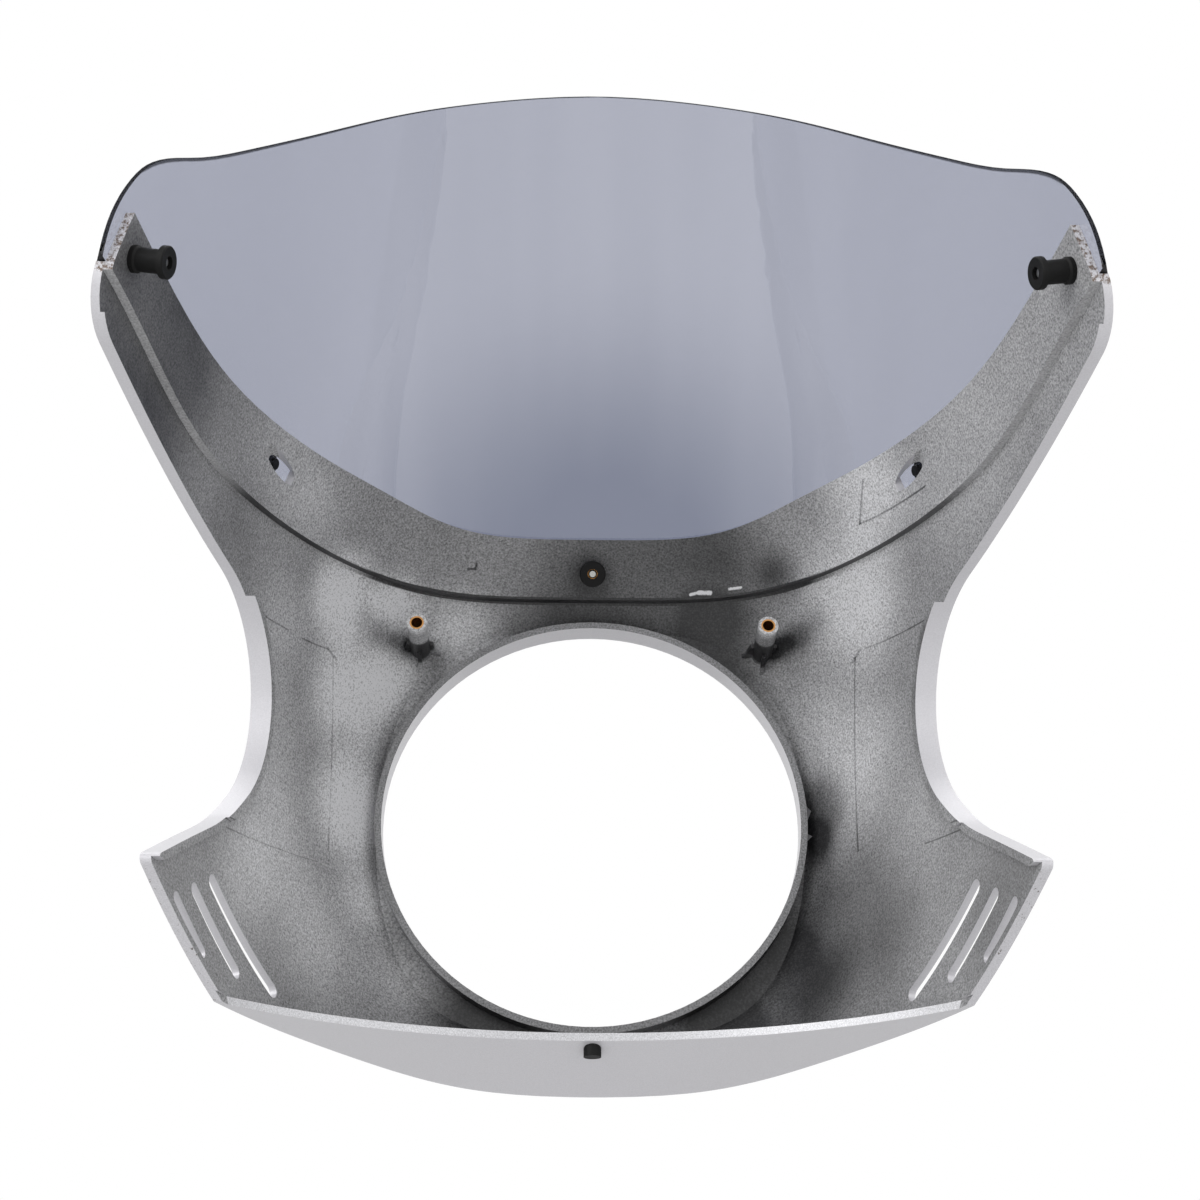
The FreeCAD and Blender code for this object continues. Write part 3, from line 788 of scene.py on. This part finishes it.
@dataclass
class FairingShell:
    """Moulded shell: mist inside, paint outside, rubbed edges at ears and wings."""

    skin: Skin = field(default_factory=Skin)
    opening_radius: float = 93.6
    collar_wall: float = 3.0
    chin_rim_z: float = -109.0
    chin_rim_y: float = -40.0
    chin_rim_radius: float = 200.0
    ear_rear_y: float = -262.0
    step_line: tuple[tuple[float, float], ...] = (
        (-290.0, 110.0),
        (-238.0, 108.5),
        (-168.0, 98.8),
        (-112.0, 100.3),
        (-44.0, 107.7),
        (20.0, 110.5),
    )
    wing_tip: tuple[float, float] = (-158.8, -71.4)
    wing_rear_slope: float = -0.638
    boss_x: float = 79.5
    boss_z: float = 83.0
    boss_tip_y: float = -27.0

    def patches(self) -> tuple[SprayPatch, ...]:
        """List where the mist lies thick or thin."""
        found = [
            SprayPatch((0.0, 5.0, 0.0), 118.0, -0.07, 100.0),
            SprayPatch((24.0, -4.0, 108.0), 84.0, -0.26, 30.0),
            SprayPatch((71.0, 5.0, -84.0), 62.0, -0.26, 20.0),
            SprayPatch((-48.0, 8.0, -92.0), 45.0, -0.31, 10.0),
            SprayPatch((40.0, 10.0, -96.0), 40.0, 0.13),
            SprayPatch((95.0, 6.0, -42.0), 34.0, -0.12, 8.0),
            SprayPatch((103.0, 2.0, 6.0), 26.0, -0.34, 5.0),
            SprayPatch((-2.0, -8.0, 116.0), 18.0, -0.1),
            SprayPatch((101.0, 3.0, -12.0), 17.0, -0.22),
            SprayPatch((66.0, 1.0, 96.0), 24.0, -0.14),
            SprayPatch((66.0, 2.0, 73.0), 22.0, -0.13),
            SprayPatch((50.0, -2.0, 98.0), 22.0, -0.2),
            SprayPatch((56.0, 8.0, -94.0), 28.0, -0.36),
            SprayPatch((-110.0, -38.0, 90.0), 34.0, 0.74),
            SprayPatch((-90.0, -2.0, 66.0), 27.0, 0.48),
            SprayPatch((-92.0, -12.0, 98.0), 24.0, 0.65),
            SprayPatch((-60.0, -4.0, 88.0), 32.0, 0.56),
            SprayPatch((-73.0, 6.0, 82.0), 12.0, -0.26),
            SprayPatch((-108.0, -14.0, 52.0), 44.0, 0.66),
            SprayPatch((-104.0, -6.0, 2.0), 40.0, 0.78),
            SprayPatch((-111.0, -11.0, 35.0), 14.0, -0.14),
            SprayPatch((-80.0, 8.0, -70.0), 40.0, 0.2),
            SprayPatch((-128.0, -70.0, 60.0), 40.0, 0.23),
            SprayPatch((-125.0, -60.0, -20.0), 48.0, 0.34),
            SprayPatch((-132.0, -58.0, 22.0), 34.0, 0.15),
            SprayPatch((-98.0, 4.0, -36.0), 27.0, 0.44),
            SprayPatch((-118.0, -30.0, -60.0), 50.0, 0.29),
            SprayPatch((-140.0, -75.0, -50.0), 40.0, 0.31),
            SprayPatch((-156.0, -125.0, -75.0), 55.0, -0.02),
            SprayPatch((-150.0, -120.0, 74.0), 45.0, -0.09),
            SprayPatch((-164.0, -215.0, 100.0), 88.0, -0.28, 20.0),
            SprayPatch((-130.0, -100.0, 122.0), 45.0, 0.18),
            SprayPatch((-112.0, -78.0, 110.0), 36.0, 0.22),
            SprayPatch((-60.0, -26.0, 125.0), 45.0, -0.09),
            SprayPatch((120.0, -40.0, 90.0), 52.0, 0.54),
            SprayPatch((116.0, -18.0, 24.0), 56.0, 0.34),
            SprayPatch((100.0, 0.0, 50.0), 30.0, 0.14),
            SprayPatch((110.0, -10.0, -20.0), 40.0, -0.05),
            SprayPatch((106.0, 0.0, -52.0), 22.0, 0.07),
            SprayPatch((125.0, -60.0, -20.0), 48.0, 0.14),
            SprayPatch((118.0, -26.0, -60.0), 66.0, -0.21),
            SprayPatch((156.0, -125.0, -75.0), 55.0, -0.18),
            SprayPatch((168.0, -235.0, 108.0), 60.0, 0.06),
            SprayPatch((146.0, -140.0, 106.0), 60.0, 0.14),
            SprayPatch((156.0, -180.0, 118.0), 40.0, 0.09),
            SprayPatch((118.0, -80.0, 125.0), 45.0, 0.46),
            SprayPatch((86.0, -21.0, 111.0), 20.0, -0.23),
            SprayPatch((60.0, -26.0, 125.0), 45.0, -0.07),
        ]
        for side in Side:
            x = side.value * self.boss_x
            found += [
                SprayPatch((x, self.boss_tip_y, self.boss_z), 8.0, 0.45, 3.0),
                SprayPatch((x, -5.0, self.boss_z - 2.5), 11.0, -1.0, 4.0),
                SprayPatch((x + side.value * 9.0, -3.0, self.boss_z + 1.0), 11.0, -0.32),
                SprayPatch((x + side.value * 17.0, -9.0, self.boss_z + 3.0), 13.0, -0.3),
                SprayPatch((x + side.value * 26.0, -17.0, self.boss_z + 7.0), 14.0, -0.22),
            ]
            for y, z in ((-86.0, 48.0), (-74.0, 28.0), (-70.0, 8.0), (-78.0, -12.0)):
                found.append(SprayPatch((side.value * 143.0, y, z), 20.0, -0.2, 3.0))
        return tuple(found)

    def lines(self) -> tuple[FineLine, ...]:
        """List the mould's parting lines and the scratches on the inner face."""
        return (
            FineLine((-139.7, 61.0), (-132.2, 63.4)),
            FineLine((-127.2, 64.4), (-117.9, 67.1)),
            FineLine((-118.0, 67.6), (-115.4, 65.4), 0.9),
            FineLine((-116.0, 65.4), (-114.4, -20.9), 0.35),
            FineLine((-145.5, -37.0), (-130.2, -31.5)),
            FineLine((-130.2, -31.5), (-117.9, -28.2), 0.35, -0.2),
            FineLine((141.1, 60.9), (121.0, 67.2)),
            FineLine((119.0, 67.8), (116.6, 64.6), 0.9),
            FineLine((117.4, 65.9), (115.7, -20.4), 0.35),
            FineLine((146.5, -36.1), (136.4, -32.3)),
            FineLine((117.8, 129.6), (117.4, 114.8), 0.5, -0.4),
            FineLine((117.4, 114.8), (137.7, 107.9), 0.5, -0.4),
            FineLine((-58.0, 118.2), (-54.6, 118.6), 0.7),
            FineLine((-54.6, 118.6), (-54.0, 120.6), 0.7),
            FineLine((46.2, 109.6), (51.0, 110.4), 0.8, 1.3),
            FineLine((50.0, 110.2), (55.4, 109.8), 1.1, 1.4),
            FineLine((64.0, 110.6), (69.3, 110.4), 0.7, 1.2),
            FineLine((12.0, 95.6), (22.0, 93.6), 0.7, 0.7),
            FineLine((22.0, 93.4), (31.0, 90.8), 0.9, 0.8),
        )

    def zones(self, node: bpy.types.Object) -> np.ndarray:
        """Sort the shell's faces by finish.

        Args:
            node: The shell.

        Returns:
            Zone number of each face.
        """
        centres, normals = faces_of(node)
        x, y, z = centres.T
        outward = self.skin.outward(x, z)
        facing = (normals * outward).sum(axis=1)
        depth = self.skin.depth(centres)
        radius = np.hypot(x, z)
        towards_axis = -(normals[:, 0] * x + normals[:, 2] * z) / np.maximum(radius, 1.0)
        zones = np.full(len(centres), ShellZone.INNER.value)
        outer = (facing > 0.5) & (depth < 4.5)
        side_wall = (np.abs(facing) <= 0.5) & (depth < 10.0)
        inner_wall = (np.abs(facing) <= 0.7) & (depth > 2.9) & (depth < 6.6)
        in_collar = radius < self.opening_radius + self.collar_wall + 1.0
        zones[outer] = ShellZone.PAINT.value
        zones[side_wall & ~in_collar] = ShellZone.PAINT.value
        zones[(normals[:, 1] > 0.9) & (y > 11.0)] = ShellZone.PAINT.value
        zones[(normals[:, 2] < -0.5) & (z < self.chin_rim_z + 60.0) & ~in_collar] = ShellZone.PAINT.value
        zones[in_collar & (towards_axis > 0.6)] = ShellZone.PAINT.value
        zones[in_collar & (normals[:, 1] < -0.9) & (y < 0.5)] = ShellZone.COLLAR_RING.value
        near_step = np.abs(z - np.interp(y, *zip(*self.step_line))) < 4.2
        step = inner_wall & near_step & ~in_collar & (y > self.ear_rear_y + 1.0)
        zones[step] = ShellZone.STEP_WALL.value
        rim_y = self.chin_rim_y - self.chin_rim_radius + np.sqrt(self.chin_rim_radius**2 - x * x)
        rim = (normals[:, 1] < -0.6) & (z < self.chin_rim_z + 4.0) & (np.abs(y - rim_y) < 0.6)
        zones[rim] = ShellZone.END_FACE.value
        ear_end = (normals[:, 1] < -0.9) & (y < self.ear_rear_y + 1.0)
        zones[ear_end] = ShellZone.WORN_EAR.value
        near_boss = np.hypot(np.abs(x) - self.boss_x, z - self.boss_z) < 12.0
        zones[near_boss & (depth > 2.5)] = ShellZone.INNER.value
        chin_floor = (normals[:, 2] > 0.5) & (z < self.wing_tip[1] - 8.0) & (depth > 2.5)
        zones[chin_floor & (radius > self.opening_radius + 1.0)] = ShellZone.INNER.value
        rear_line = self.wing_tip[0] + (z - self.wing_tip[1]) / self.wing_rear_slope
        wing_rear = side_wall & (z < self.wing_tip[1]) & (y < rear_line + 1.0)
        zones[wing_rear] = ShellZone.RUBBED_EDGE.value
        return zones

    def step_track(self, node: bpy.types.Object, zones: np.ndarray) -> np.ndarray:
        """Follow the step across the right half, from the corners of its wall's faces.

        Args:
            node: The shell.
            zones: Zone number of each face.

        Returns:
            Places as rows of X and Z, in millimetres, one for each 6 mm of X.
        """
        faces = np.flatnonzero(zones == ShellZone.STEP_WALL.value)
        corners = sorted({i for face in faces for i in node.data.polygons[face].vertices})
        places = np.array([node.data.vertices[i].co for i in corners]) / MM
        bins = np.round(np.abs(places[:, 0]) / 6.0).astype(int)
        return np.array([(np.abs(places[bins == b, 0]).mean(), places[bins == b, 2].min()) for b in np.unique(bins)])

    def dress(self, node: bpy.types.Object) -> None:
        """Put the shell's finishes on its faces."""
        zones = self.zones(node)
        # The step's track places the band of painted shade on the inner face.
        step = self.step_track(node, zones)
        bright_ends = tuple(
            SprayPatch((side.value * 166.0, -215.0, 108.0), 112.0, 0.5, 66.0) for side in Side
        )
        materials = [
            SprayedAbs(patches=self.patches(), lines=self.lines(), step=step).build(),
            SilverPaint().build(),
            SilverPaint(name="silver_paint_on_end_faces", silver="#c2c2c5", flake_depth=0.2).build(),
            SilverPaint(name="silver_paint_rubbed_at_edges", chip_cover=0.08, flake_depth=0.1).build(),
            # Painted shade: the step's wall gets almost no mist, standing in for its shadow; lighter towards the
            # ears.
            SprayedAbs(name="abs_black_with_painted_shade_in_the_step", cover=0.05, grain_gain=1.5, patches=bright_ends).build(),
            SilverPaint(
                name="silver_paint_chipped_at_ears",
                chip="#66564b",
                chip_cover=0.62,
                chip_mm=1.7,
                chip_fade=0.14,
                flake_depth=0.2,
            ).build(),
            SprayedAbs(name="abs_black_with_mist_on_ring", cover=0.3).build(),
        ]
        dress(node, materials, zones)


@dataclass
class Screen:
    """Smoked screen: clear faces, and a cut edge with near-black painted shade, as it looks from the side."""

    skin: Skin = field(default_factory=Skin)

    shoulder_z: float = 140.0
    thickness: float = 3.0

    def outline(self, node: bpy.types.Object, cut: np.ndarray) -> np.ndarray:
        """Read the inner outline above the ears from the corners of the cut faces.

        Args:
            node: The screen.
            cut: Whether each face belongs to the cut edge.

        Returns:
            Places of the right half as rows of X and Z, in millimetres.
        """
        corners = sorted({i for face in np.flatnonzero(cut) for i in node.data.polygons[face].vertices})
        places = np.array([node.data.vertices[i].co for i in corners]) / MM
        inner = self.skin.depth(places) > 0.5 * self.thickness
        places = places[inner & (places[:, 0] > -0.01) & (places[:, 2] > self.shoulder_z)]
        return places[:, [0, 2]]

    def dress(self, node: bpy.types.Object) -> None:
        """Put the acrylic on the faces, painted shade on the cut edge and a band of painted shade round the outline.
        """
        centres, normals = faces_of(node)
        facing = (normals * self.skin.outward(centres[:, 0], centres[:, 2])).sum(axis=1)
        cut = np.abs(facing) < 0.6
        outline = self.outline(node, cut)
        LOG.info("screen outline: %d places, up to %s mm", len(outline), outline.max(axis=0).round(1))
        # Painted shade: the cut edge is opaque near black, standing in for the dark look of light's long path
        # through the tinted edge.
        edge = PlainFinish("acrylic_edge_with_painted_shade", "#1c1e22", "#0c0d10", roughness=0.3, grain_mm=0.8)
        materials = [
            SmokedAcrylic().build(),
            edge.build(),
            SmokedAcrylic(name="smoked_acrylic_with_painted_edge_shade", outline=outline).build(),
        ]
        dress(node, materials, np.where(cut, 1, np.where(facing < 0.0, 2, 0)))


@dataclass
class Fasteners:
    """Rubber nuts, screws, washers, plugs and the brass inserts."""

    def dress(self, nodes: dict[str, bpy.types.Object]) -> None:
        """Put each small piece's finish on it."""
        rubber = PlainFinish("moulded_nitrile_rubber", "#101010", "#080808", roughness=0.6, specular=0.2).build()
        nylon = PlainFinish("moulded_black_nylon", "#101011", "#09090a", roughness=0.42, specular=0.25).build()
        zinc = PlainFinish(
            "zinc_plated_steel", "#c9c9c6", "#a5a5a2", metallic=1.0, roughness=0.3, relief=0.3, thread_pitch_mm=0.7
        ).build()
        brass = PlainFinish(
            "turned_brass", "#d9a569", "#b47c42", metallic=1.0, roughness=0.32, relief=0.4, thread_pitch_mm=0.8
        ).build()
        finishes = {
            "well_nut": rubber,
            "chin_plug": rubber,
            "nut_insert": brass,
            "boss_insert": brass,
            "screen_screw": zinc,
            "screw_washer": nylon,
            "screen_plug": nylon,
        }
        for name, node in nodes.items():
            for start, material in finishes.items():
                if name.startswith(start):
                    dress(node, [material])


@dataclass
class Studio:
    """White studio: world, pale floor, soft lamps and the camera behind the fairing."""

    camera_place: Place = (-13.5, -829.0, -294.9)
    forward: Place = (0.01877, 0.8992, 0.4373)
    lens_mm: float = 58.83
    floor_z: float = -0.52
    ambient: float = 0.66

    def build(self) -> None:
        """Make the world, the floor, the lamps and the camera."""
        self.world()
        self.floor()
        self.lamp("key", (-1.1, -1.2, 0.5), 1.2, 14.5)
        self.lamp("fill", (1.1, -1.1, 0.3), 1.2, 4.8)
        self.lamp("top", (0.0, 0.1, 1.6), 1.4, 9.0)
        self.camera()

    def world(self) -> None:
        """Light all round, and white where the camera or a reflection sees it."""
        world = bpy.data.worlds.new("studio")
        bpy.context.scene.world = world
        world.use_nodes = True
        tree = world.node_tree
        tree.nodes.clear()
        path = add_node(tree, "ShaderNodeLightPath")
        seen = path.outputs["Is Camera Ray"]
        for name in ("Is Glossy Ray", "Is Transmission Ray"):
            seen = add_node(
                tree, "ShaderNodeMath", {"operation": "MAXIMUM"}, {0: seen, 1: path.outputs[name]}
            ).outputs[0]
        ambient = add_node(tree, "ShaderNodeBackground", {"Color": (1, 1, 1, 1), "Strength": self.ambient})
        white = add_node(tree, "ShaderNodeBackground", {"Color": (1, 1, 1, 1), "Strength": 1.0})
        mix = add_node(
            tree, "ShaderNodeMixShader", {}, {0: seen, 1: ambient.outputs[0], 2: white.outputs[0]}
        )
        add_node(tree, "ShaderNodeOutputWorld", {}, {"Surface": mix.outputs[0]})

    def floor(self) -> None:
        """Lay the pale floor well below the fairing, which hangs in the air."""
        bpy.ops.object.select_all(action="DESELECT")
        bpy.ops.mesh.primitive_plane_add(size=8.0, location=(0.0, 0.0, self.floor_z))
        floor = bpy.context.object
        floor.name = "studio_floor"
        material = bpy.data.materials.new("painted_floor")
        material.use_nodes = True
        shader = material.node_tree.nodes["Principled BSDF"]
        shader.inputs["Base Color"].default_value = linear("#e4e4e4")
        shader.inputs["Roughness"].default_value = 0.9
        floor.data.materials.append(material)

    def lamp(self, name: str, place: Place, size: float, power: float) -> None:
        """Hang one square soft lamp that looks at the fairing.

        Args:
            name: Name of the lamp.
            place: Its place in metres.
            size: Length of its sides in metres.
            power: Its power in watts.
        """
        data = bpy.data.lights.new(name, "AREA")
        data.size = size
        data.energy = power
        lamp = bpy.data.objects.new(name, data)
        bpy.context.scene.collection.objects.link(lamp)
        lamp.location = place
        lamp.rotation_euler = (Vector((0.0, -0.1, 0.05)) - Vector(place)).to_track_quat("-Z", "Y").to_euler()

    def camera(self) -> None:
        """Set the camera at the photograph's place and lens."""
        data = bpy.data.cameras.new("view")
        data.lens = self.lens_mm
        data.sensor_width = 36.0
        camera = bpy.data.objects.new("view", data)
        bpy.context.scene.collection.objects.link(camera)
        turn = Vector(self.forward).to_track_quat("-Z", "Y").to_matrix().to_4x4()
        camera.matrix_world = Matrix.Translation(metres(self.camera_place)) @ turn
        bpy.context.scene.camera = camera


def main() -> None:
    """Dress the fairing piece by piece and build the studio."""
    logging.basicConfig(level=logging.INFO, format="%(name)s %(message)s")
    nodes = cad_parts
    FairingShell().dress(nodes["fairing_shell"])
    Screen().dress(nodes["windscreen"])
    Fasteners().dress(nodes)
    Studio().build()
    bpy.context.scene.view_settings.view_transform = "Standard"


if __name__ == "__main__":
    main()
